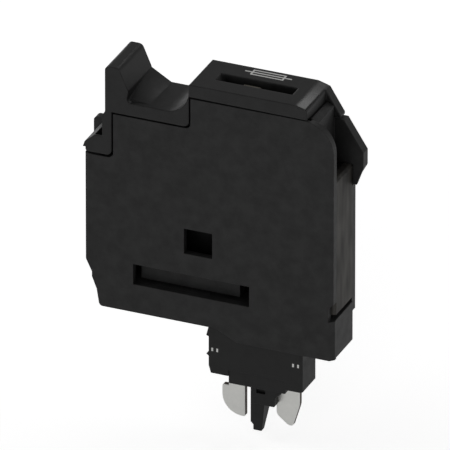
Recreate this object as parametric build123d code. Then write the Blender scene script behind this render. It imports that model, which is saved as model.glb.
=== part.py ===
from build123d import *
import os

# Fuse plug for a terminal block, with a swing-up lever that carries a cartridge fuse.
# Millimetres. Every piece is drawn from the lower left front corner of the housing:
# X to the right, Y from the front face to the back, Z up. At the end the whole plug
# is moved so that the origin lies midway between the blades, at the foot's underside.

# Cartridge fuse
fuse_diameter = 5.2
fuse_length = 20.0
cap_length = 5.5
cap_wall = 0.22
cap_base = 0.3
glass_wall = 0.45
glass_play = 0.03
wire_diameter = 0.3
fuse_axis_z = 19.0

# Housing
pitch = 6.2
cover_wall = 0.8
rear_wall = 0.9
left_wall = 0.9
floor_z = 3.25
side_play = 0.1
seam_gap = 0.2
swing_gap = 0.25
chamber_wall = 0.7
strip_backing = 1.75
grip_recess = 2.05
grip_ledge_z = 19.0
shoulder_radius = 3.4
edge_nubs_z = (8.8, 12.6)
edge_nub_reach = 0.12
edge_nub_height = 0.5
heel_z = 5.2
heel_inset = 0.67
heel_shelf_z = 3.6
toe_x = 1.5
toe_waist_x = 1.2
toe_waist_z = 1.9
skirt_overlap = 0.95
skirt_slope = 2.4
skirt_depth = 1.2
corner_radius = 0.45

# Openings in the front face
slot_x = 5.3
slot_length = 13.0
slot_height = 2.35
square_hole_x = 11.0
square_hole_z = 8.0
square_hole_width = 3.17
square_hole_height = 2.9
bar_pad_left = 0.33
bar_pad_right = 1.61
bar_pad_lift = 0.15
bar_pad_root = 0.8
bar_pad_setback = 0.6

# Lug and wing on the rear wall
lug_reach = 1.35
lug_top_z = 18.96
lug_height = 4.6
lug_slope = 1.2
wing_thickness = 1.15
wing_reach = 1.35
wing_top_z = 24.2
wing_top_inset = 0.8
wing_knee_z = 20.85
wing_foot_z = 19.1
wing_root_z = 16.6
wing_root_radius = 1.0
hinge_lip_rise = 0.2
hinge_lip_reach = 0.45
rear_edge_inset = 0.15

# Side strip and lower end block
strip_thickness = 0.9
strip_foot_z = 3.8
strip_above_ledge = 0.3
strip_chamfer = 0.25
end_block_z = 3.3
end_block_inset = 0.05
edge_notch_z = 5.4
edge_notch_depth = 0.6
edge_chamfer = 0.45

# Lever
hinge_x = 0.7
hinge_drop = 0.4
hinge_radius = 0.5
hinge_play = 0.05
hinge_cheek = 0.85
hinge_sweep = 1.08
hinge_floor_gap = 0.07
leg_width = 2.9
leg_drop = 0.88
leg_radius = 0.6
barb_reach = 1.0
barb_drop = 0.4
horn_x = 2.2
horn_width = 1.55
horn_height = 5.2
horn_belly_width = 2.6
horn_belly_rise = 2.75
horn_foot_width = 2.35
gusset_reach = 2.2
gusset_front_y = 0.6
gusset_front_share = 0.12
ridge_x = 1.87
ridge_inner_x = 0.98
ridge_z = 19.75
ridge_pocket_z = 18.95
ridge_pocket_slope = 0.35
valley_rise = 1.4
scoop_radius = 2.6
step_wall = 1.0
cheek_height = 3.5
block_rise = 1.4
crown_length = 1.3
crown_drop = 0.36
crown_radius = 0.4
nose_bottom_drop = 0.08
post_left = 1.0
post_right = 0.7
end_play = 0.05
post_below_axis = 1.9
lip_thickness = 0.4
lip_gap = 0.1
lip_length = 1.1
lip_width = 2.0
roof_gap = 0.45
roof_thickness = 0.9
flange_reach = 1.65
flange_tip_rise = 0.25
brow_lip = 0.15
brow_lip_depth = 0.5
flange_lean = 0.5
board_bay_margin = 0.65

# Window in the top of the lever
window_margin = 2.5
window_length = 8.6
window_width = 1.6
window_ramp = 0.8
window_offset = 0.2

# Indicator circuit in the lever
board_thickness = 0.6
board_length = 10.8
board_width = 3.6
board_seat_gap = 0.02
lamp_from_left = 3.65
lamp_length = 2.0
lamp_width = 1.3
lamp_below_top = 0.55
resistor_length = 3.6
resistor_diameter = 1.4
resistor_from_left = 6.65
diode_length = 1.9
diode_width = 1.3
diode_height = 1.0
diode_from_left = 0.65
leg_strip = 0.25
leg_strip_width = 1.2
leg_strip_foot = 1.7
leg_strip_inset = 1.6

# Contacts
blade_thickness = 0.6
blade_width = 2.6
blade_spacing = 6.1
blade_end_gap = 2.15
blade_tip_z = -11.25
blade_shoulder_z = -7.9
blade_bevel = 0.06
blade_corner = 0.24
blade_tip_land = 0.36
neck_inset = 0.75
bar_lift = 0.35
bar_height = 2.6
bar_left_x = 4.6
riser_width = 2.8
contact_gap = 0.12
spring_strip = 0.35
spring_width = 3.4
spring_height = 4.0
spring_base = 4.2
spring_bend = 1.45
spring_tip_drop = 0.9
tenon_width = 1.0
tenon_height = 0.6
tenon_play = 0.03

# Foot
foot_depth = 5.5
foot_front = 0.4
foot_back = 1.4
foot_margin = 0.55
foot_right_margin = 1.3
foot_taper = 0.3
foot_nub = 0.22
foot_nub_z = -3.35
foot_right_drop = 0.3
foot_chamfer = 0.2
foot_back_chamfer = 0.8
skirt_gap = 0.1
collar_drop = 0.85
collar_lap = 0.7
collar_inset = 0.12
collar_right_inset = 1.95
peg_left_reach = 0.9
peg_width = 1.85
peg_thickness = 1.8
peg_tip_thickness = 0.6
peg_knee_z = -9.6
peg_tip_z = -12.2
peg_tip_width = 0.95
peg_step = 0.3
peg_step_z = -11.3
web_thickness = 0.9
web_reach = 2.6
web_depth = 3.4
web_step = 1.0
eyelet_width = 1.0
eyelet_height = 0.45
eyelet_inset = 0.8
staple_spacing = 0.56
staple_width = 0.2
staple_height = 0.4
staple_depth = 1.9
staple_z = -2.75
staple_left = 0.35
staple_right = 0.19
slot_play = 0.05

# Ribs inside the housing
rib_width = 0.8
divider_width = 0.6
divider_gap = 0.4
divider_foot_z = 6.4
divider_z = 15.2
core_pockets = 3
core_wall = 0.9

# Places worked out from the sizes above
mid_y = pitch / 2
rear_inner_y = pitch - rear_wall
lever_front_y = cover_wall + side_play
lever_back_y = rear_inner_y - side_play
fuse_radius = fuse_diameter / 2
relief_front_y = mid_y - fuse_radius - side_play
relief_back_y = mid_y + fuse_radius + side_play
fuse_left_x = leg_width + post_left + end_play
fuse_right_x = fuse_left_x + fuse_length
fuse_top_z = fuse_axis_z + fuse_radius
fuse_bottom_z = fuse_axis_z - fuse_radius
lever_right_x = fuse_right_x + end_play + post_right
chamber_right_x = lever_right_x + swing_gap
chamber_outer_x = chamber_right_x + chamber_wall
strip_inner_x = chamber_right_x + strip_backing
body_width = chamber_outer_x + grip_recess
rear_edge_x = body_width - rear_edge_inset
board_right_x = lever_right_x - post_right - board_bay_margin
board_left_x = board_right_x - board_length
lever_step_x = board_left_x - step_wall
window_right_x = lever_right_x - window_margin
window_left_x = window_right_x - window_length
hinge_z = fuse_axis_z - hinge_drop
leg_bottom_z = hinge_z - leg_drop
hinge_floor_z = hinge_z - hinge_sweep - hinge_floor_gap
roof_z = fuse_top_z + roof_gap
sill_z = roof_z + roof_thickness - seam_gap
brow_z = sill_z + cheek_height
lever_top_z = brow_z + block_rise
valley_z = sill_z + valley_rise
blade_right_x = chamber_right_x - blade_end_gap - blade_width / 2
blade_left_x = blade_right_x - blade_spacing
seat_x = blade_left_x + blade_spacing / 2
foot_left_x = blade_left_x - blade_width / 2 - foot_margin
foot_right_x = blade_right_x + blade_width / 2 + foot_right_margin
skirt_x = foot_left_x + skirt_overlap
contact_front_y = mid_y - blade_thickness / 2
contact_back_y = mid_y + blade_thickness / 2
spring_crest_z = fuse_bottom_z - contact_gap
contact_top_z = spring_crest_z - spring_height
bar_bottom_z = floor_z + bar_lift
bar_top_z = bar_bottom_z + bar_height
relief_z = fuse_bottom_z - lip_gap - lip_thickness - swing_gap
above_all = lever_top_z + horn_height


def profile(*corners):
    """Closed outline in X and Z. A corner is (x, z), or (x, z, radius) where it is rounded."""
    face = make_face(Polyline(*[corner[:2] for corner in corners], close=True))
    for corner in corners:
        if len(corner) == 3:
            spot = face.vertices().sort_by_distance((corner[0], corner[1], 0))[0]
            face = fillet(spot, corner[2])
    return face


def between(outline, front, back):
    """The outline as a solid from depth front to depth back."""
    return extrude(Plane.XZ.offset(-back) * outline, back - front)


def block(x, y, z):
    """A box given by its (low, high) range along each axis."""
    low = (x[0], y[0], z[0])
    size = (x[1] - x[0], y[1] - y[0], z[1] - z[0])
    return Location(low) * Box(*size, align=(Align.MIN, Align.MIN, Align.MIN))


def disc(x, z, radius):
    """A circle in the X-Z plane."""
    return Location((x, z)) * Circle(radius)


def rod_x(radius, left, right):
    """A round bar along the fuse's axis."""
    bar = Cylinder(radius, right - left, align=(Align.CENTER, Align.CENTER, Align.MIN))
    return Location((left, mid_y, fuse_axis_z)) * Rotation(0, 90, 0) * bar


def body_outline(right_x):
    """Front view of the housing below the lever, without lug, wing or skirt steps."""
    leg_edge_x = leg_width + seam_gap
    step_edge_x = lever_step_x + seam_gap
    return (
        (0, heel_z, corner_radius),
        (0, hinge_floor_z + hinge_lip_rise),
        (hinge_lip_reach, hinge_floor_z),
        (leg_edge_x, hinge_floor_z, leg_radius),
        (leg_edge_x, sill_z - seam_gap),
        (step_edge_x, sill_z - seam_gap, leg_radius),
        (step_edge_x, brow_z - seam_gap),
    ), (
        (skirt_x + skirt_slope, -skirt_depth),
        (skirt_x, 0),
        (toe_x, 0, corner_radius),
        (toe_waist_x, toe_waist_z, corner_radius),
        (heel_inset, floor_z),
        (heel_inset, heel_shelf_z + seam_gap),
    )


# Front cover: a flat plate, thinned inside where the fuse swings past
def make_cover():
    top_left, bottom_left = body_outline(body_width)
    right_side = (
        (body_width, brow_z - seam_gap, shoulder_radius),
        (body_width, edge_notch_z),
        (body_width - edge_notch_depth, edge_notch_z - edge_notch_depth),
        (body_width - edge_notch_depth, end_block_z),
        (body_width, end_block_z),
        (body_width, -skirt_depth),
    )
    cover = between(profile(*top_left, *right_side, *bottom_left), 0, cover_wall)
    relief = profile(
        (leg_width, relief_z),
        (chamber_right_x, relief_z),
        (chamber_right_x, above_all),
        (leg_width, above_all),
    )
    cover -= between(relief, relief_front_y, cover_wall)
    cover -= block((slot_x, slot_x + slot_length), (0, cover_wall), (floor_z, floor_z + slot_height))
    hole_x = (square_hole_x, square_hole_x + square_hole_width)
    hole_z = (square_hole_z, square_hole_z + square_hole_height)
    cover -= block(hole_x, (0, cover_wall), hole_z)

    # Pad behind the long slot, which keeps the bar of the left contact on its seats
    pad_x = (slot_x + bar_pad_left, slot_x + slot_length - bar_pad_right)
    pad_back_y = contact_front_y - side_play
    pad_root_z = floor_z + slot_height
    pad_top_z = pad_root_z + bar_pad_root
    cover += block(pad_x, (cover_wall, pad_back_y), (pad_root_z, pad_top_z))
    pad_y = (cover_wall + bar_pad_setback, pad_back_y)
    cover += block(pad_x, pad_y, (floor_z + bar_pad_lift, pad_top_z))
    low_edge = cover.edges().filter_by(Axis.Z).sort_by_distance((body_width, 0, end_block_z / 2))[0]
    return chamfer(low_edge, edge_chamfer)


# Rear shell: back wall, rim, chamber wall, hinge stub, lug, wing and ribs in one moulding
def make_rear_shell():
    top_left, bottom_left = body_outline(rear_edge_x)
    lug = (
        (0, lug_top_z - lug_height - lug_slope),
        (-lug_reach, lug_top_z - lug_height),
        (-lug_reach, lug_top_z, corner_radius),
        (0, lug_top_z),
        (0, sill_z - seam_gap, leg_width / 2),
    )
    wing = (
        (lever_right_x - flange_lean, brow_z - seam_gap),
        (lever_right_x, wing_top_z),
        (rear_edge_x - wing_top_inset, wing_top_z),
        (rear_edge_x + wing_reach, wing_knee_z),
        (rear_edge_x + wing_reach, wing_foot_z, corner_radius),
        (rear_edge_x, wing_root_z, wing_root_radius),
        (rear_edge_x, -skirt_depth + end_block_z),
        (strip_inner_x - chamber_wall, 0),
        (strip_inner_x - chamber_wall, -skirt_depth),
    )
    outline = (top_left[0],) + lug + top_left[5:] + wing + bottom_left
    shell = between(profile(*outline), rear_inner_y, pitch)

    # Rim and chamber walls, from the inner face of the cover to the rear wall
    rim = profile(
        (0, heel_z, corner_radius),
        (0, hinge_floor_z + hinge_lip_rise),
        (hinge_lip_reach, hinge_floor_z),
        (leg_width - swing_gap, hinge_floor_z),
        (leg_width - swing_gap, hinge_floor_z - left_wall),
        (left_wall, hinge_floor_z - left_wall, corner_radius),
        (left_wall, floor_z, corner_radius),
        (foot_left_x, floor_z),
        (foot_left_x, 0),
        *bottom_left[2:],
    )
    for z in edge_nubs_z:
        nub = profile(
            (left_wall, z - edge_nub_height),
            (-edge_nub_reach, z),
            (-edge_nub_reach / 2, z + edge_nub_height / 2),
            (left_wall, z + edge_nub_height / 2),
        )
        rim += nub
    shell += between(rim, cover_wall, rear_inner_y)
    end_wall = profile(
        (foot_right_x, -skirt_depth),
        (body_width - end_block_inset, -skirt_depth, side_play),
        (body_width - end_block_inset, end_block_z),
        (strip_inner_x, end_block_z),
        (strip_inner_x, grip_ledge_z),
        (chamber_outer_x, grip_ledge_z, corner_radius),
        (chamber_outer_x, wing_top_z),
        (chamber_right_x, wing_top_z),
        (chamber_right_x, floor_z),
        (foot_right_x, floor_z),
    )
    shell += between(end_wall, cover_wall, rear_inner_y)
    wing_front_y = pitch - wing_thickness
    brow = profile(
        (chamber_right_x, wing_top_z),
        (chamber_outer_x, wing_top_z),
        (chamber_outer_x, brow_z - seam_gap - crown_drop),
        (chamber_right_x, brow_z - seam_gap),
        (chamber_right_x - brow_lip, brow_z - seam_gap),
        (chamber_right_x - brow_lip, brow_z - seam_gap - brow_lip_depth),
        (chamber_right_x, brow_z - seam_gap - brow_lip_depth - brow_lip),
    )
    shell += between(brow, cover_wall, wing_front_y - side_play)

    # Wing, thicker than the rear wall
    wing_edge_x = rear_edge_x + wing_reach
    strip_top_z = grip_ledge_z + strip_above_ledge
    thick_wing = profile(
        (chamber_outer_x - chamber_wall / 2, strip_top_z + slot_play),
        (chamber_outer_x - chamber_wall / 2, wing_top_z),
        (rear_edge_x - wing_top_inset, wing_top_z),
        (wing_edge_x, wing_knee_z),
        (wing_edge_x, wing_foot_z, corner_radius),
        (body_width + corner_radius, wing_root_z + corner_radius),
        (body_width + slot_play, wing_root_z + corner_radius),
        (body_width + slot_play, strip_top_z + slot_play),
    )
    shell += between(thick_wing, wing_front_y, rear_inner_y)

    # Room for the fuse on its way round the hinge
    swing_room = profile(
        (leg_width - swing_gap, relief_z),
        (chamber_right_x, relief_z),
        (chamber_right_x, above_all),
        (-lug_reach, above_all),
        (-lug_reach, fuse_axis_z),
        (leg_width - swing_gap, fuse_axis_z),
    )
    swing_room -= disc(hinge_x, hinge_z, leg_width + side_play)
    shell -= between(swing_room, rear_inner_y, relief_back_y)
    shell += between(disc(hinge_x, hinge_z, hinge_radius), hinge_cheek, rear_inner_y)

    # Ribs that carry the contacts from behind, and the pads under the long bar
    riser_x = bar_left_x + riser_width / 2
    right_x = blade_right_x
    bar_rib_x = foot_left_x - rib_width
    for x, top in ((riser_x, contact_top_z), (bar_rib_x, bar_top_z), (right_x, contact_top_z)):
        rib_x = (x - rib_width / 2, x + rib_width / 2)
        shell += block(rib_x, (contact_back_y, rear_inner_y), (floor_z, top))
    for x in (riser_x, bar_rib_x):
        pad_x = (x - rib_width / 2, x + rib_width / 2)
        shell += block(pad_x, (contact_front_y, rear_inner_y), (floor_z, bar_bottom_z))
    spring_left_x = right_x - spring_base / 2 - spring_bend / 2 - spring_strip / 2
    divider_right = spring_left_x - divider_gap
    divider_x = (divider_right - divider_width, divider_right)
    shell += block(divider_x, (cover_wall + side_play, rear_inner_y), (divider_foot_z, divider_z))

    # Cored-out beam at the bottom, open to the cover
    beam_length = foot_left_x - core_wall - (toe_x + 2 * core_wall)
    cell = beam_length / core_pockets
    for n in range(core_pockets):
        left = toe_x + 2 * core_wall + n * cell
        pocket_y = (cover_wall, rear_inner_y - core_wall)
        shell -= block((left, left + cell - core_wall), pocket_y, (core_wall, floor_z - core_wall))
    return shell


# Side strip: closes the right side between the cover and the rear wall
def make_side_strip():
    strip = block(
        (strip_inner_x, strip_inner_x + strip_thickness),
        (cover_wall, rear_inner_y),
        (strip_foot_z, grip_ledge_z + strip_above_ledge),
    )
    outer_x = strip_inner_x + strip_thickness
    upright = strip.edges().filter_by(Axis.Z).sort_by_distance((outer_x, cover_wall, 0))[0]
    top = strip.edges().filter_by(Axis.Y).sort_by_distance((outer_x, mid_y, above_all))[0]
    return chamfer([upright, top], strip_chamfer)


# Foot: the head is held between cover and shell, the rest plugs into the terminal block
def make_foot():
    head = block(
        (foot_left_x + slot_play, foot_right_x - slot_play),
        (cover_wall, rear_inner_y),
        (-skirt_depth, floor_z),
    )
    collar_left = foot_left_x + 4 * foot_margin + slot_play
    collar_right = foot_right_x - collar_right_inset
    front = profile(
        (foot_left_x + slot_play, -skirt_gap),
        (foot_left_x - foot_nub, -skirt_depth),
        (foot_left_x + slot_play, -skirt_depth - side_play),
        (foot_left_x + slot_play, foot_nub_z + foot_nub),
        (foot_left_x - foot_nub, foot_nub_z),
        (foot_left_x + slot_play, foot_nub_z - foot_nub),
        (foot_left_x + slot_play, -foot_depth + collar_drop),
        (foot_left_x + foot_taper, -foot_depth),
        (collar_left, -foot_depth),
        (collar_left, -foot_depth - foot_right_drop),
        (foot_right_x - slot_play, -foot_depth - foot_right_drop),
        (foot_right_x - slot_play, -skirt_depth - skirt_gap),
        (skirt_x + skirt_slope - skirt_gap / 2, -skirt_depth - skirt_gap),
        (skirt_x - skirt_gap / 2, -skirt_gap),
    )
    foot = between(front, foot_front, pitch - foot_back)
    right_front = foot.edges().sort_by_distance((foot_right_x, foot_front, -foot_depth / 2))[0]
    foot = chamfer(right_front, foot_chamfer)
    right_back = foot.edges().sort_by_distance((foot_right_x, pitch - foot_back, -foot_depth / 2))[0]
    foot = chamfer(right_back, foot_back_chamfer)

    # Collar under the foot, set back from its front face
    collar_y = (foot_front + collar_inset, pitch - foot_back - collar_inset)
    collar = profile(
        (collar_left, -foot_depth + collar_lap),
        (collar_left, -foot_depth - collar_drop, side_play),
        (collar_right, -foot_depth - collar_drop, side_play),
        (collar_right, -foot_depth + collar_lap),
    )
    groove = block((collar_left, collar_right), (0, collar_y[0]), (-above_all, -foot_depth + collar_lap))
    foot -= groove
    foot += between(collar, *collar_y)

    # Peg that guides the plug, and the web that braces it
    peg_left = seat_x - peg_left_reach
    peg_right = peg_left + peg_width
    peg_front_y = mid_y - peg_thickness / 2
    collar_z = -foot_depth - collar_drop
    peg = profile(
        (peg_left, collar_z + collar_drop),
        (peg_left, peg_step_z),
        (peg_left + peg_step, peg_step_z - peg_step),
        (peg_left + peg_step, peg_tip_z, side_play),
        (peg_left + peg_step + peg_tip_width, peg_tip_z, side_play),
        (peg_right, collar_z + collar_drop),
    )
    taper = make_face(
        Polyline(
            (peg_front_y, collar_z + collar_drop),
            (peg_front_y + peg_thickness, collar_z + collar_drop),
            (peg_front_y + peg_thickness, peg_knee_z),
            (peg_front_y + peg_tip_thickness, peg_tip_z),
            (peg_front_y, peg_tip_z),
            close=True,
        )
    )
    upright = between(peg, peg_front_y, peg_front_y + peg_thickness)
    foot += upright & extrude(Plane.YZ * taper, body_width)
    web_back_y = contact_front_y - side_play
    web_z = collar_z - web_depth + collar_drop
    web = profile(
        (peg_left + peg_step, collar_z + collar_drop),
        (peg_left + peg_step, web_z),
        (peg_right + web_step, web_z, side_play),
        (peg_right + web_step, web_z + web_step),
        (peg_right + web_reach, collar_z),
        (peg_right + web_reach, collar_z + collar_drop),
    )
    foot += between(web, web_back_y - web_thickness, web_back_y)
    eyelet_x = peg_left + eyelet_inset
    eyelet_z = collar_z - eyelet_inset
    foot -= block(
        (eyelet_x, eyelet_x + eyelet_width),
        (web_back_y - web_thickness, web_back_y - web_thickness / 2),
        (eyelet_z - eyelet_height, eyelet_z),
    )
    foot += head

    # Slots for the two contacts
    slot_y = (contact_front_y - slot_play, contact_back_y + slot_play)
    left_slot = (
        blade_left_x - blade_width / 2 + neck_inset - slot_play,
        blade_left_x + blade_width / 2 + slot_play,
    )
    right_slot = (blade_right_x - blade_width / 2 - slot_play, blade_right_x + blade_width / 2 + slot_play)
    for slot in (left_slot, right_slot):
        foot -= block(slot, slot_y, (-above_all, floor_z))
    for staple in staple_places():
        foot -= make_staple(staple)
    return foot


def staple_places():
    """Middle of each staple along X."""
    half = staple_spacing / 2 + staple_width / 2
    right_edge_x = foot_right_x - foot_chamfer
    return foot_left_x + staple_left + half, right_edge_x - staple_right - half


def make_staple(middle):
    """One U-shaped staple, its two ends level with the front of the foot."""
    z = (staple_z - staple_height / 2, staple_z + staple_height / 2)
    back_y = foot_front + staple_depth
    staple = block(
        (middle - staple_spacing / 2, middle + staple_spacing / 2),
        (back_y - staple_width, back_y),
        z,
    )
    for side in (-1, 1):
        x = middle + side * staple_spacing / 2
        staple += block((x - staple_width / 2, x + staple_width / 2), (foot_front, back_y), z)
    return staple


def make_staples():
    left, right = [make_staple(place) for place in staple_places()]
    return Compound(children=[left, right])


# Contacts: each one stamped from sheet, with its blade at the bottom
def tenon(middle):
    """The corners of the tenon on top of a riser, from right to left."""
    half = tenon_width / 2
    return (
        (middle + half, contact_top_z),
        (middle + half, contact_top_z + tenon_height),
        (middle - half, contact_top_z + tenon_height),
        (middle - half, contact_top_z),
    )


def bevelled(contact):
    """Breaks the two long outlines of a blade below its shoulder."""
    low = [
        edge
        for edge in contact.edges()
        if edge.center().Z < blade_shoulder_z - blade_bevel and not is_across(edge)
    ]
    return chamfer(low, blade_bevel)


def is_across(edge):
    """True for an edge that runs through the thickness of the sheet."""
    return abs((edge @ 1 - edge @ 0).Y) > blade_bevel


def make_contact_left():
    left = blade_left_x - blade_width / 2
    right = blade_left_x + blade_width / 2
    sweep = min(blade_width - blade_tip_land, blade_shoulder_z - blade_tip_z - 2 * blade_corner)
    neck = left + neck_inset
    riser_right = bar_left_x + riser_width
    outline = profile(
        (left, blade_shoulder_z, blade_corner),
        (left, blade_tip_z, sweep),
        (right, blade_tip_z, blade_corner),
        (right, bar_top_z, corner_radius),
        (riser_right, bar_top_z, corner_radius),
        (riser_right, contact_top_z),
        *tenon(bar_left_x + riser_width / 2),
        (bar_left_x, contact_top_z),
        (bar_left_x, bar_bottom_z, corner_radius),
        (neck, bar_bottom_z),
        (neck, blade_shoulder_z),
    )
    return bevelled(between(outline, contact_front_y, contact_back_y))


def make_contact_right():
    middle = blade_right_x
    left = middle - blade_width / 2
    right = middle + blade_width / 2
    outline = profile(
        (left, blade_tip_z + blade_width * 0.4, blade_width * 0.3),
        (left + blade_width * 0.5, blade_tip_z, blade_width * 0.25),
        (right - blade_width * 0.3, blade_tip_z, blade_width * 0.12),
        (right, blade_tip_z + blade_width, blade_width * 0.8),
        (right, contact_top_z),
        *tenon(middle),
        (left, contact_top_z),
    )
    return bevelled(between(outline, contact_front_y, contact_back_y))


def make_cap_spring(middle, facing):
    """Leaf spring on a contact: base, bend, arm and crest. The bend is on the facing side."""
    half = spring_strip / 2
    base_z = contact_top_z + half
    crest_z = spring_crest_z - half
    bend_x = spring_base / 2 + spring_bend / 2
    shoulder_z = crest_z - spring_tip_drop / 2
    path = FilletPolyline(
        (middle - facing * spring_base / 2, base_z),
        (middle + facing * bend_x, base_z),
        (middle + facing * bend_x, shoulder_z),
        (middle, crest_z),
        (middle - facing * spring_base / 2, crest_z - spring_tip_drop),
        radius=spring_bend,
    )
    strip = trace(path, line_width=spring_strip)
    spring = between(strip, mid_y - spring_width / 2, mid_y + spring_width / 2)
    slot_half = tenon_width / 2 + tenon_play
    return spring - block(
        (middle - slot_half, middle + slot_half),
        (contact_front_y - tenon_play, contact_back_y + tenon_play),
        (contact_top_z, contact_top_z + spring_height / 2),
    )


# Fuse
def make_cap(end_x, inward):
    """Metal cap of the fuse: a short cup whose base is at end_x and mouth faces inward."""
    mouth_x = end_x + inward * cap_length
    inner_x = end_x + inward * cap_base
    outer = rod_x(fuse_radius, min(end_x, mouth_x), max(end_x, mouth_x))
    inner = rod_x(fuse_radius - cap_wall, min(inner_x, mouth_x), max(inner_x, mouth_x))
    rim = outer.edges().filter_by(GeomType.CIRCLE).sort_by(Axis.X)[0 if inward > 0 else -1]
    return fillet(rim, cap_wall) - inner


def make_glass():
    glass_radius = fuse_radius - cap_wall - glass_play
    left = fuse_left_x + cap_base + glass_play
    right = fuse_right_x - cap_base - glass_play
    return rod_x(glass_radius, left, right) - rod_x(glass_radius - glass_wall, left, right)


def make_wire():
    return rod_x(wire_diameter / 2, fuse_left_x + cap_base, fuse_right_x - cap_base)


def gusset_section(share):
    """Section of the gusset, its height scaled by share."""
    rise = (sill_z + horn_belly_rise - valley_z) * share
    reach = horn_belly_width - horn_foot_width + gusset_reach
    root_x = horn_x + horn_foot_width
    return profile(
        (horn_x, valley_z - side_play),
        (root_x + reach, valley_z - side_play),
        (root_x + reach, valley_z),
        (horn_x + horn_belly_width - side_play, valley_z + rise),
        (horn_x, valley_z + rise),
    )


def make_gusset():
    """Web behind the horn, low at the front and rising towards the back."""
    low = Plane.XZ.offset(-gusset_front_y) * gusset_section(gusset_front_share)
    high = Plane.XZ.offset(-pitch) * gusset_section(1)
    return loft([low, high], ruled=True)


# Lever: hinge leg, horn, thumb valley, top block, inner roof and the two end posts
def make_lever():
    upper = profile(
        (horn_x, sill_z),
        (horn_x, sill_z + horn_height, corner_radius),
        (horn_x + horn_width, sill_z + horn_height, leg_radius),
        (horn_x + horn_belly_width, sill_z + horn_belly_rise, corner_radius),
        (horn_x + horn_foot_width, valley_z, corner_radius),
        (lever_step_x, valley_z, scoop_radius),
        (lever_step_x, lever_top_z, side_play),
        (lever_right_x - crown_length, lever_top_z),
        (lever_right_x, lever_top_z - crown_drop, crown_radius),
        (lever_right_x, brow_z - nose_bottom_drop),
        (lever_step_x, brow_z),
        (lever_step_x, sill_z, leg_radius),
    )
    lever = between(upper, 0, pitch)
    lever += make_gusset()
    barb_x = hinge_x - barb_reach
    barb_z = hinge_z - barb_drop
    leg = profile(
        (barb_x, barb_z),
        (0, barb_z),
        (0, leg_bottom_z + side_play * 2),
        (side_play, leg_bottom_z),
        (leg_width, leg_bottom_z, leg_radius),
        (leg_width, valley_z),
        (horn_x, valley_z),
        (horn_x, sill_z),
        (ridge_x, sill_z - leg_radius),
        (ridge_x, ridge_z),
        (ridge_inner_x, ridge_z),
        (-side_play, hinge_z + side_play * 2),
    )
    lever += between(leg, 0, lever_back_y)
    pocket = profile(
        (ridge_inner_x, ridge_z),
        (ridge_inner_x + ridge_pocket_slope, ridge_pocket_z),
        (ridge_x, ridge_pocket_z),
        (ridge_x, ridge_z),
    )
    lever -= between(pocket, corner_radius / 2, lever_back_y)

    # Roof over the fuse and the post at each end of it
    inside = (lever_front_y, lever_back_y)
    roof_x = (leg_width - post_left, lever_right_x)
    lever += block(roof_x, inside, (roof_z, roof_z + roof_thickness))
    post_z = fuse_axis_z - post_below_axis
    lever += block((leg_width, leg_width + post_left), inside, (post_z, roof_z + roof_thickness))
    lever += block((lever_right_x - post_right, lever_right_x), inside, (post_z, brow_z + side_play))

    # Lips that hold the fuse from below
    lip_y = (mid_y - lip_width / 2, mid_y + lip_width / 2)
    lip_z = (fuse_bottom_z - lip_gap - lip_thickness, fuse_bottom_z - lip_gap)
    left_root = fuse_left_x - end_play - lip_thickness
    right_root = fuse_right_x + end_play + lip_thickness
    lever += block((left_root, fuse_left_x + lip_length), lip_y, lip_z)
    lever += block((left_root, fuse_left_x - end_play), lip_y, (lip_z[0], post_z))
    lever += block((fuse_right_x - lip_length, right_root), lip_y, lip_z)
    lever += block((fuse_right_x + end_play, right_root), lip_y, (lip_z[0], post_z))

    # Rear flange that reaches over the grip recess
    flange_z = wing_top_z + seam_gap
    flange = profile(
        (lever_right_x - flange_lean + seam_gap, brow_z),
        (lever_right_x + seam_gap, flange_z),
        (lever_right_x + flange_reach, flange_z),
        (lever_right_x + flange_reach, flange_z + flange_tip_rise),
        (lever_right_x, lever_top_z - crown_drop),
        (lever_right_x - flange_lean + seam_gap, lever_top_z - crown_drop),
    )
    lever += between(flange, pitch - wing_thickness, pitch)

    # Window, with a ramp at its left end
    window_mid = mid_y - window_offset
    window_y = (window_mid - window_width / 2, window_mid + window_width / 2)
    window = profile(
        (window_left_x, lever_top_z),
        (window_left_x + window_ramp, brow_z - nose_bottom_drop),
        (window_right_x, brow_z - nose_bottom_drop),
        (window_right_x, lever_top_z),
    )
    lever -= between(window, *window_y)

    # Openings in the roof for the legs of the indicator circuit
    for x in leg_places():
        gap = (x - leg_strip - slot_play, x + slot_play)
        leg_y = (mid_y - leg_strip_width / 2 - slot_play, mid_y + leg_strip_width / 2 + slot_play)
        lever -= block(gap, leg_y, (roof_z, roof_z + roof_thickness))
    bore = disc(hinge_x, hinge_z, hinge_radius + hinge_play)
    return lever - between(bore, hinge_cheek - side_play, lever_back_y)


# Indicator circuit: board, lamp, resistor, diode and two sprung legs
def board_top():
    return roof_z + roof_thickness + board_seat_gap + board_thickness


def leg_places():
    return board_left_x + leg_strip_inset, board_right_x - leg_strip_inset + leg_strip


def make_board():
    return block(
        (board_left_x, board_right_x),
        (mid_y - board_width / 2, mid_y + board_width / 2),
        (board_top() - board_thickness, board_top()),
    )


def make_lamp():
    lamp_mid = mid_y - window_offset
    lamp_x = board_left_x + lamp_from_left
    lamp = block(
        (lamp_x, lamp_x + lamp_length),
        (lamp_mid - lamp_width / 2, lamp_mid + lamp_width / 2),
        (board_top(), lever_top_z - lamp_below_top),
    )
    top = lamp.edges().group_by(Axis.Z)[-1]
    return fillet(top, lamp_width / 4)


def make_resistor():
    radius = resistor_diameter / 2
    bar = Cylinder(radius, resistor_length, align=(Align.CENTER, Align.CENTER, Align.MIN))
    place = Location((board_left_x + resistor_from_left, mid_y, board_top() + radius))
    return place * Rotation(0, 90, 0) * bar


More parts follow.
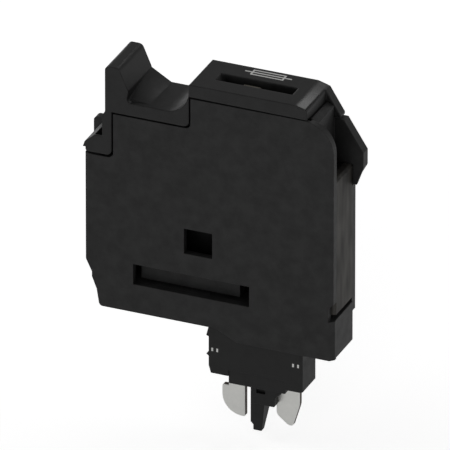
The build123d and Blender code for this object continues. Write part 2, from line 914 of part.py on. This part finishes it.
def make_diode():
    diode_x = board_left_x + diode_from_left
    diode = block(
        (diode_x, diode_x + diode_length),
        (mid_y - diode_width / 2, mid_y + diode_width / 2),
        (board_top(), board_top() + diode_height),
    )
    return chamfer(diode.edges().group_by(Axis.Z)[-1], side_play)


def make_leg(x):
    """Strip from the underside of the board down to just above a fuse cap."""
    leg_y = (mid_y - leg_strip_width / 2, mid_y + leg_strip_width / 2)
    foot_z = fuse_top_z + contact_gap
    upright = block((x - leg_strip, x), leg_y, (foot_z, board_top() - board_thickness))
    return upright + block((x - leg_strip_foot, x), leg_y, (foot_z, foot_z + leg_strip))


left_leg_x, right_leg_x = leg_places()
pieces = {
    "rear_shell": make_rear_shell(),
    "side_cover": make_cover(),
    "side_strip": make_side_strip(),
    "plug_foot": make_foot(),
    "foot_staples": make_staples(),
    "contact_left": make_contact_left(),
    "contact_right": make_contact_right(),
    "cap_spring_left": make_cap_spring(bar_left_x + riser_width / 2, 1),
    "cap_spring_right": make_cap_spring(blade_right_x, -1),
    "fuse_lever": make_lever(),
    "fuse_glass": make_glass(),
    "fuse_wire": make_wire(),
    "fuse_cap_left": make_cap(fuse_left_x, 1),
    "fuse_cap_right": make_cap(fuse_right_x, -1),
    "lamp_board": make_board(),
    "lamp": make_lamp(),
    "lamp_resistor": make_resistor(),
    "lamp_diode": make_diode(),
    "lamp_leg_left": make_leg(left_leg_x),
    "lamp_leg_right": make_leg(right_leg_x),
}

to_origin = Location((-seat_x, -mid_y, foot_depth))
os.makedirs("parts", exist_ok=True)
for name, piece in pieces.items():
    export_step(to_origin * piece, f"parts/{name}.step")
print("hinge axis at", round(hinge_x - seat_x, 3), round(hinge_z + foot_depth, 3))
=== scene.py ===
import math
import bpy
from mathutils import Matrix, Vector


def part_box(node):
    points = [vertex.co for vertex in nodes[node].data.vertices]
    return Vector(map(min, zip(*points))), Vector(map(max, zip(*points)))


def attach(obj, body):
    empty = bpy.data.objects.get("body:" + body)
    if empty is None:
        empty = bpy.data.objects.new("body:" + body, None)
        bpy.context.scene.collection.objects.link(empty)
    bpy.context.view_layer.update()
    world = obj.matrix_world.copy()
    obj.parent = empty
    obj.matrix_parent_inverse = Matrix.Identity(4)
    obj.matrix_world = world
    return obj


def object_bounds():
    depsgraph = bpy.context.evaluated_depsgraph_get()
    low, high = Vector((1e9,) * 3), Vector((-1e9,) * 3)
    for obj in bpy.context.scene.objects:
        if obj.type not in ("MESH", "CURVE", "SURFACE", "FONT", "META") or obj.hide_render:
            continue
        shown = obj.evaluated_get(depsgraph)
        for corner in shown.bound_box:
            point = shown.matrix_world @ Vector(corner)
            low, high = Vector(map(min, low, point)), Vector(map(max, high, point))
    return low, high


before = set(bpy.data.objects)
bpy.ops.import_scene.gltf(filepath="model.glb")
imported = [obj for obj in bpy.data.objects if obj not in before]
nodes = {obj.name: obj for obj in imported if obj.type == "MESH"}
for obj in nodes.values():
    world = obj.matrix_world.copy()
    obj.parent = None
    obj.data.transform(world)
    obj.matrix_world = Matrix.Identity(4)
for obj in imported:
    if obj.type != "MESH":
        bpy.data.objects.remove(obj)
cadLow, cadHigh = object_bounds()
millimetre = 0.001
print("stage: frame loaded,", len(nodes), "pieces")


def srgb(code, alpha=1.0):
    channels = [int(code[i:i + 2], 16) / 255 for i in (0, 2, 4)]
    linear = [c / 12.92 if c <= 0.04045 else ((c + 0.055) / 1.055) ** 2.4 for c in channels]
    return (*linear, alpha)


def addNode(tree, kind, settings=None, links=None):
    # settings go on the node itself or on its inputs by name, links are {input: output socket}
    node = tree.nodes.new(kind)
    for name, value in (settings or {}).items():
        if isinstance(name, int) or name in node.inputs:
            node.inputs[name].default_value = value
        else:
            setattr(node, name, value)
    for name, source in (links or {}).items():
        tree.links.new(source, node.inputs[name])
    return node


def emptyTree(owner):
    # the node tree of a new material or world, cleared
    owner.use_nodes = True
    owner.node_tree.nodes.clear()
    return owner.node_tree


def ramp(tree, place, axis, span, ends=(0.0, 1.0)):
    # runs from one end value to the other over a span in mm along an axis
    split = addNode(tree, "ShaderNodeSeparateXYZ", links={"Vector": place})
    step = addNode(
        tree, "ShaderNodeMapRange",
        {
            "From Min": span[0] * millimetre, "From Max": span[1] * millimetre,
            "To Min": ends[0], "To Max": ends[1],
        },
        {"Value": split.outputs[axis]},
    )
    return step.outputs[0]


mixInputs = (6, 7)  # the two colours of a Mix node, and the colour that comes out
mixResult = 2


def blend(tree, share, *colours):
    # turns the first colour into the second by a share from 0 to 1, each a hex code or a socket
    mix = addNode(tree, "ShaderNodeMix", {"data_type": "RGBA"}, {"Factor": share})
    for socket, colour in zip(mixInputs, colours):
        if isinstance(colour, str):
            mix.inputs[socket].default_value = srgb(colour)
        else:
            tree.links.new(colour, mix.inputs[socket])
    return mix.outputs[mixResult]


# What every finish shares
texture = {
    "bevelSamples": 6,
    "bumpDepth": 0.01,  # mm
    "grainDetail": 3.0,
    "grainRoughness": 0.6,
    "patchRoughness": 0.55,
    "patchSpread": (0.33, 0.67),  # the stretch of the noise that runs from one tone to the other
    "cutEdgeShadeBelow": 0.5,  # a sheet's face is a cut edge, bare copper darkened with painted shade, where its normal has less of Y than this
}


def surface(name, look):
    material = bpy.data.materials.new(name)
    tree = emptyTree(material)
    coordinates = addNode(tree, "ShaderNodeTexCoord")
    place = coordinates.outputs["Object"]
    edges = addNode(
        tree, "ShaderNodeBevel",
        {"samples": texture["bevelSamples"], "Radius": look["rounding"] * millimetre},
    )
    grain = addNode(
        tree, "ShaderNodeTexNoise",
        {
            "Scale": 1 / (look["grain"] * millimetre),
            "Detail": texture["grainDetail"], "Roughness": texture["grainRoughness"],
        },
        {"Vector": place},
    )
    relief = addNode(
        tree, "ShaderNodeBump",
        {"Strength": look["relief"], "Distance": texture["bumpDepth"] * millimetre},
        {"Height": grain.outputs[0], "Normal": edges.outputs[0]},
    )
    drawnOut = addNode(
        tree, "ShaderNodeMapping", {"Scale": (1.0, 1.0, look["streak"])}, {"Vector": place},
    )
    patches = addNode(
        tree, "ShaderNodeTexNoise",
        {
            "Scale": 1 / (look["patch"] * millimetre),
            "Detail": look["patchDetail"], "Roughness": texture["patchRoughness"],
        },
        {"Vector": drawnOut.outputs[0]},
    )
    lowest, highest = texture["patchSpread"]
    patchShare = addNode(
        tree, "ShaderNodeMapRange",
        {"From Min": lowest, "From Max": highest}, {"Value": patches.outputs[0]},
    ).outputs[0]
    roughness = addNode(
        tree, "ShaderNodeMapRange",
        {"To Min": look["roughness"][0], "To Max": look["roughness"][1]}, {"Value": patchShare},
    ).outputs[0]
    colour = blend(tree, patchShare, *look["colour"])
    if "paintedShadeInside" in look:
        # painted shade: the sheet turns dark brown above a height, for the shade inside the
        # housing, and its cut edges are bare copper darkened with painted shade
        colour = blend(tree, ramp(tree, place, "Z", look["paintedShadeInsideZ"]), colour, look["paintedShadeInside"])
        facing = addNode(
            tree, "ShaderNodeSeparateXYZ", links={"Vector": coordinates.outputs["Normal"]},
        )
        flat = addNode(tree, "ShaderNodeMath", {"operation": "ABSOLUTE"}, {0: facing.outputs["Y"]})
        # painted shade: faces that don't face Y, the cut edges, turn dark brown, bare copper
        # darkened further as painted shade
        cutEdgeShadeMask = addNode(
            tree, "ShaderNodeMath",
            {"operation": "LESS_THAN", 1: texture["cutEdgeShadeBelow"]}, {0: flat.outputs[0]},
        )
        colour = blend(tree, cutEdgeShadeMask.outputs[0], colour, look["cutEdgeAndShade"])
    if "polished" in look:
        # the ridge at the end of the lever is rubbed bright, most of all at the front
        along = ramp(tree, place, "X", look["polishedX"])
        above = ramp(tree, place, "Z", look["polishedZ"])
        rubbed = addNode(tree, "ShaderNodeMath", {"operation": "MULTIPLY"}, {0: along, 1: above})
        worn = ramp(tree, place, "Y", look["polishedY"], look["polished"])
        roughness = addNode(
            tree, "ShaderNodeMapRange",
            links={"Value": rubbed.outputs[0], "To Min": roughness, "To Max": worn},
        ).outputs[0]
    shader = addNode(
        tree, "ShaderNodeBsdfPrincipled",
        {"Metallic": look["metallic"], "Specular IOR Level": look["specular"]},
        {"Base Color": colour, "Roughness": roughness, "Normal": relief.outputs[0]},
    )
    addNode(tree, "ShaderNodeOutputMaterial", links={"Surface": shader.outputs[0]})
    material.diffuse_color = srgb(look["colour"][0])
    return material


# Each finish has the two tones of its patches, in colour and in roughness. Sizes are in mm:
# rounding of the edges, grain of the mould and patches of wear. A streak under 1 draws the
# patches out along Z. The real grain is a few hundredths, drawn coarser so that it shows.
plastic = {
    "metallic": 0.0, "specular": 0.35, "rounding": 0.12, "grain": 0.09, "relief": 0.4,
    "patch": 1.3, "patchDetail": 4.0, "streak": 1.0,
}
metal = {
    "metallic": 1.0, "specular": 0.5, "rounding": 0.05, "grain": 0.05, "relief": 0.15,
    "patch": 0.8, "patchDetail": 4.0, "streak": 1.0,
}
looks = {
    # black glass-filled polyamide from a spark-eroded mould: satin and faintly cloudy
    "satinBlackPolyamide": {
        **plastic, "colour": ("1e1e1e", "2a2a2a"), "roughness": (0.53, 0.48),
    },
    # the same polyamide from a finer mould: a little smoother, and bright where it is rubbed
    "smoothBlackPolyamide": {
        **plastic, "rounding": 0.22, "colour": ("1d1d1d", "272727"), "roughness": (0.4, 0.52),
        "polished": (0.14, 0.36),  # roughness at the front and at the back of the ridge
        "polishedX": (4.9, 5.3), "polishedY": (-1.8, 2.0), "polishedZ": (32.7, 32.8),
    },
    # the same polyamide, painted a little deeper in tone on the foot as painted shade
    "shadedBlackPolyamide": {
        **plastic, "colour": ("171717", "222222"), "roughness": (0.46, 0.6),
    },
    # dark warm grey polyamide: flow marks of the melt run up and down it
    "warmGreyPolyamide": {
        **plastic, "colour": ("252321", "42403c"), "roughness": (0.62, 0.52),
        "patchDetail": 1.0, "streak": 0.25,
    },
    # tin-plated copper sheet: pale with a soft sheen; the dark brown higher up inside is painted
    # shade, and the cut edges are bare copper darkened with painted shade
    "tinPlate": {
        **metal, "colour": ("ebebe7", "f2f2ee"), "roughness": (0.3, 0.42),
        "paintedShadeInside": "2b2618", "paintedShadeInsideZ": (3.0, 4.0), "cutEdgeAndShade": "3a2c20",
    },
    # bare spring steel strip: grey and fairly bright
    "springSteel": {**metal, "colour": ("a9a8a4", "b6b4b0"), "roughness": (0.25, 0.35)},
    # drawn wire: pale and bright
    "brightWire": {**metal, "colour": ("dcdcda", "e6e6e4"), "roughness": (0.15, 0.22)},
    # nickel-plated brass: bright and slightly warm
    "nickelPlate": {**metal, "colour": ("cfccc2", "d8d5cc"), "roughness": (0.14, 0.22)},
    # bare glass-fibre laminate: straw yellow and slightly mottled
    "glassFibreLaminate": {**plastic, "colour": ("b8ab80", "c2b58c"), "roughness": (0.5, 0.6)},
    # cast milky resin of the lamp: grey and smooth, painted darker than the resin's own colour as
    # painted shade under the window
    "shadedMilkyResin": {
        **plastic, "colour": ("78746a", "827e74"), "roughness": (0.25, 0.35), "relief": 0.05,
    },
    # dipped beige lacquer of the resistor: smooth with a soft shine
    "beigeLacquer": {**plastic, "colour": ("b5a384", "bdab8d"), "roughness": (0.3, 0.4)},
    # moulded resin of the diode: nearly black with a soft shine
    "darkResin": {**plastic, "colour": ("2c2c2e", "303032"), "roughness": (0.35, 0.45)},
    # rolled-on ink of the resistor's rings: brown and dull
    "brownInk": {
        **plastic, "colour": ("4a2f1c", "523520"), "roughness": (0.4, 0.5), "rounding": 0.01,
    },
    # pad-printed ink: white and dull
    "whiteInk": {
        **plastic, "colour": ("e6e6e4", "eeeeec"), "roughness": (0.5, 0.6), "rounding": 0.01,
    },
}
# drawn glass tube: clear, with sharp reflections
glassLook = {
    "Base Color": srgb("f2f5f4"), "Roughness": 0.03, "IOR": 1.47, "Transmission Weight": 1.0,
}


def clearGlass():
    material = bpy.data.materials.new("drawnGlass")
    tree = emptyTree(material)
    shader = addNode(tree, "ShaderNodeBsdfPrincipled", glassLook)
    addNode(tree, "ShaderNodeOutputMaterial", links={"Surface": shader.outputs[0]})
    return material


finishes = {name: surface(name, look) for name, look in looks.items()}
finishes["drawnGlass"] = clearGlass()
nodeFinish = {
    "rear_shell": "satinBlackPolyamide",
    "side_cover": "satinBlackPolyamide",
    "side_strip": "warmGreyPolyamide",
    "plug_foot": "shadedBlackPolyamide",
    "foot_staples": "brightWire",
    "contact_left": "tinPlate",
    "contact_right": "tinPlate",
    "cap_spring_left": "springSteel",
    "cap_spring_right": "springSteel",
    "fuse_lever": "smoothBlackPolyamide",
    "fuse_glass": "drawnGlass",
    "fuse_wire": "springSteel",
    "fuse_cap_left": "nickelPlate",
    "fuse_cap_right": "nickelPlate",
    "lamp_board": "glassFibreLaminate",
    "lamp": "shadedMilkyResin",
    "lamp_resistor": "beigeLacquer",
    "lamp_diode": "darkResin",
    "lamp_leg_left": "springSteel",
    "lamp_leg_right": "springSteel",
}
for name, finish in nodeFinish.items():
    mesh = nodes[name].data
    mesh.materials.clear()
    mesh.materials.append(finishes[finish])
print("stage: finishes set")


def addPiece(name, mesh, finish, body):
    mesh.materials.clear()
    mesh.materials.append(finishes[finish])
    piece = bpy.data.objects.new(name, mesh)
    bpy.context.collection.objects.link(piece)
    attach(piece, body)


# White fuse symbol printed on top of the lever, a bar through an open rectangle. Sizes in mm
symbol = {
    "middle": (-0.2, 2.1),  # from the origin, along X and Y
    "top": 33.15,  # of the lever above the origin
    "length": 5.2,
    "bodyLength": 3.5,
    "bodyWidth": 1.15,
    "line": 0.2,
    "thickness": 0.012,
}


def printedSymbol():
    x, y = symbol["middle"]
    line = symbol["line"] / 2
    end = symbol["length"] / 2
    side = symbol["bodyLength"] / 2
    edge = symbol["bodyWidth"] / 2
    low, high = symbol["top"], symbol["top"] + symbol["thickness"]
    strokes = [  # left, right, near and far edge
        (-end, -side - line, -line, line),
        (-side + line, side - line, -line, line),
        (side + line, end, -line, line),
        (-side - line, -side + line, -edge, edge),
        (side - line, side + line, -edge, edge),
        (-side + line, side - line, edge - 2 * line, edge),
        (-side + line, side - line, -edge, -edge + 2 * line),
    ]
    points, faces = [], []
    for left, right, near, far in strokes:
        n = len(points)
        corners = ((left, near), (right, near), (right, far), (left, far))
        for z in (low, high):
            points += [(x + a, y + b, z) for a, b in corners]
        faces += [(n, n + 3, n + 2, n + 1), (n + 4, n + 5, n + 6, n + 7)]
        faces += [(n + k, n + (k + 1) % 4, n + 4 + (k + 1) % 4, n + 4 + k) for k in range(4)]
    mesh = bpy.data.meshes.new("printed_symbol")
    mesh.from_pydata([tuple(v * millimetre for v in p) for p in points], [], faces)
    return mesh


addPiece("printed_symbol", printedSymbol(), "whiteInk", "lever")


def repeatTree(name, sockets):
    # an empty tree with named inputs and a geometry output
    tree = bpy.data.node_groups.new(name, "GeometryNodeTree")
    for label, kind, value in sockets:
        socket = tree.interface.new_socket(name=label, in_out="INPUT", socket_type=kind)
        socket.default_value = value
    tree.interface.new_socket(name="Geometry", in_out="OUTPUT", socket_type="NodeSocketGeometry")
    return tree


def settle(name, tree, values):
    # runs a tree on an empty mesh and hands back its result as a plain mesh
    holder = bpy.data.objects.new(name + "_source", bpy.data.meshes.new(name + "_source"))
    bpy.context.collection.objects.link(holder)
    modifier = holder.modifiers.new("repeat", "NODES")
    modifier.node_group = tree
    for item in tree.interface.items_tree:
        if item.in_out == "INPUT" and item.name in values:
            modifier[item.identifier] = values[item.name]
    result = holder.evaluated_get(bpy.context.evaluated_depsgraph_get())
    mesh = bpy.data.meshes.new_from_object(result)
    mesh.name = name
    bpy.data.objects.remove(holder)
    return mesh


# Brown rings round the resistor. Sizes in mm
rings = {
    "count": 4,
    "width": 0.26,
    "pitch": 0.55,  # from one to the next
    "proud": 0.012,
    "facets": 40,
}


def resistorRings():
    low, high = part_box("lamp_resistor")
    tree = repeatTree("resistorRings", [
        ("Count", "NodeSocketInt", rings["count"]),
        ("First", "NodeSocketVector", (0, 0, 0)),
        ("Step", "NodeSocketVector", (0, 0, 0)),
        ("Radius", "NodeSocketFloat", millimetre),
        ("Width", "NodeSocketFloat", millimetre),
    ])
    given = tree.nodes.new("NodeGroupInput").outputs
    line = addNode(
        tree, "GeometryNodeMeshLine",
        links={
            "Count": given["Count"], "Start Location": given["First"], "Offset": given["Step"],
        },
    )
    ring = addNode(
        tree, "GeometryNodeMeshCylinder", {"Vertices": rings["facets"]},
        {"Radius": given["Radius"], "Depth": given["Width"]},
    )
    placed = addNode(
        tree, "GeometryNodeInstanceOnPoints", {"Rotation": (0, math.pi / 2, 0)},
        {"Points": line.outputs[0], "Instance": ring.outputs["Mesh"]},
    )
    real = addNode(tree, "GeometryNodeRealizeInstances", links={"Geometry": placed.outputs[0]})
    inked = addNode(
        tree, "GeometryNodeSetMaterial", {"Material": finishes["brownInk"]},
        {"Geometry": real.outputs[0]},
    )
    addNode(tree, "NodeGroupOutput", links={0: inked.outputs[0]})
    middle = (low + high) / 2
    step = rings["pitch"] * millimetre
    return settle("resistor_rings", tree, {
        "Count": rings["count"],
        "First": (middle.x - step * (rings["count"] - 1) / 2, middle.y, middle.z),
        "Step": (step, 0.0, 0.0),
        "Radius": (high.z - low.z) / 2 + rings["proud"] * millimetre,
        "Width": rings["width"] * millimetre,
    })


addPiece("resistor_rings", resistorRings(), "brownInk", "lever")
print("stage: symbol and rings added")

# Plain pale floor under the plug and a soft white studio around it
studio = {
    "floorDrop": 1.2,  # below the peg's tip, mm
    "floorSize": 640,  # mm
    "floorColour": "f4f4f4",
    "floorGlow": (0.66, 0.86),  # white added for the camera, near the plug and far from it
    "glowFade": (60, 200),  # where near ends and far starts, mm from the origin
    "floorGloss": 0.28,  # share of that white that gloss on the plug shows
    "worldColour": "ffffff",
    "worldStrength": 0.2,  # the camera and glass see all of that white, plain light this share
    "worldGloss": 0.2,  # and gloss this share
}
lamps = {
    # azimuth and elevation seen from the plug, distance and size in mm, power in W
    "rightPanel": {"azimuth": 112, "elevation": 22, "distance": 300, "size": 180, "power": 0.12},
    "leftPanel": {"azimuth": -75, "elevation": 40, "distance": 300, "size": 220, "power": 0.15},
    "frontPanel": {"azimuth": 10, "elevation": 15, "distance": 320, "size": 150, "power": 0.135},
    # shines along the rubbed ridge of the lever
    "crownPanel": {"azimuth": 180, "elevation": 34, "distance": 300, "size": 80, "power": 0.035},
    # lights the hollow of the thumb rest
    "cornerPanel": {"azimuth": -140, "elevation": 8, "distance": 300, "size": 120, "power": 0.05},
}
camera = {
    "azimuth": 23.0,
    "elevation": 27.6,
    "width": 46.49,  # what the picture spans at the plug, mm
    "aimRight": -3.83,  # middle of the picture from the origin, mm
    "aimUp": 14.93,
    "lens": 1600,  # so long that the view is nearly parallel
    "sensor": 36.0,
    "clip": (0.5, 2.0),  # shares of the camera's distance
}


def direction(azimuth, elevation):
    # azimuth 0 is in front of the plug, 90 on its right
    a = math.radians(azimuth)
    e = math.radians(elevation)
    return Vector((math.sin(a) * math.cos(e), -math.cos(a) * math.cos(e), math.sin(e)))


def whiteSeen(tree, plain, gloss):
    # how much white light finds here: the camera and glass all of it, the rest their shares
    paths = addNode(tree, "ShaderNodeLightPath").outputs
    full = addNode(
        tree, "ShaderNodeMath", {"operation": "MAXIMUM"},
        {0: paths["Is Camera Ray"], 1: paths["Is Transmission Ray"]},
    )
    dimmed = addNode(
        tree, "ShaderNodeMapRange",
        {"To Min": plain, "To Max": gloss}, {"Value": paths["Is Glossy Ray"]},
    )
    both = addNode(
        tree, "ShaderNodeMath", {"operation": "MAXIMUM"},
        {0: full.outputs[0], 1: dimmed.outputs[0]},
    )
    return both.outputs[0]


def makeWorld():
    world = bpy.data.worlds.new("studioWorld")
    bpy.context.scene.world = world
    tree = emptyTree(world)
    sky = addNode(
        tree, "ShaderNodeBackground", {"Color": srgb(studio["worldColour"])},
        {"Strength": whiteSeen(tree, studio["worldStrength"], studio["worldGloss"])},
    )
    addNode(tree, "ShaderNodeOutputWorld", links={"Surface": sky.outputs[0]})


def makeFloor():
    half = studio["floorSize"] / 2 * millimetre
    level = cadLow.z - studio["floorDrop"] * millimetre
    mesh = bpy.data.meshes.new("floor")
    mesh.from_pydata(
        [(-half, -half, level), (half, -half, level), (half, half, level), (-half, half, level)],
        [], [(0, 1, 2, 3)],
    )
    material = bpy.data.materials.new("paleFloor")
    tree = emptyTree(material)
    matt = addNode(tree, "ShaderNodeBsdfDiffuse", {"Color": srgb(studio["floorColour"])})
    place = addNode(tree, "ShaderNodeTexCoord")
    away = addNode(
        tree, "ShaderNodeVectorMath", {"operation": "LENGTH"}, {0: place.outputs["Object"]},
    )
    nearGlow, farGlow = studio["floorGlow"]
    fadeStart, fadeEnd = (edge * millimetre for edge in studio["glowFade"])
    reach = addNode(
        tree, "ShaderNodeMapRange",
        {"From Min": fadeStart, "From Max": fadeEnd, "To Min": nearGlow, "To Max": farGlow},
        {"Value": away.outputs["Value"]},
    )
    shown = addNode(
        tree, "ShaderNodeMath", {"operation": "MULTIPLY"},
        {0: whiteSeen(tree, 0.0, studio["floorGloss"]), 1: reach.outputs[0]},
    )
    glow = addNode(
        tree, "ShaderNodeEmission", {"Color": srgb("ffffff")}, {"Strength": shown.outputs[0]},
    )
    both = addNode(tree, "ShaderNodeAddShader", links={0: matt.outputs[0], 1: glow.outputs[0]})
    addNode(tree, "ShaderNodeOutputMaterial", links={"Surface": both.outputs[0]})
    mesh.materials.append(material)
    floor = bpy.data.objects.new("floor", mesh)
    bpy.context.collection.objects.link(floor)


def hangLamps():
    middle = (cadLow + cadHigh) / 2
    for name, lamp in lamps.items():
        light = bpy.data.lights.new(name, "AREA")
        light.shape = "SQUARE"
        light.size = lamp["size"] * millimetre
        light.energy = lamp["power"]
        panel = bpy.data.objects.new(name, light)
        away = direction(lamp["azimuth"], lamp["elevation"])
        panel.location = middle + away * lamp["distance"] * millimetre
        panel.rotation_euler = away.to_track_quat("Z", "Y").to_euler()
        bpy.context.collection.objects.link(panel)
        panel.visible_camera = False


def placeCamera():
    distance = camera["width"] / (camera["sensor"] / camera["lens"]) * millimetre
    back = direction(camera["azimuth"], camera["elevation"])
    right = Vector((0, 0, 1)).cross(back).normalized()
    up = back.cross(right)
    lens = bpy.data.cameras.new("camera")
    lens.lens = camera["lens"]
    lens.sensor_width = camera["sensor"]
    lens.clip_start, lens.clip_end = (distance * share for share in camera["clip"])
    eye = bpy.data.objects.new("camera", lens)
    aim = (right * camera["aimRight"] + up * camera["aimUp"]) * millimetre
    eye.location = aim + back * distance
    eye.rotation_euler = back.to_track_quat("Z", "Y").to_euler()
    bpy.context.collection.objects.link(eye)
    bpy.context.scene.camera = eye


makeWorld()
makeFloor()
hangLamps()
placeCamera()
bpy.context.scene.view_settings.view_transform = "Standard"
print("stage: studio ready")
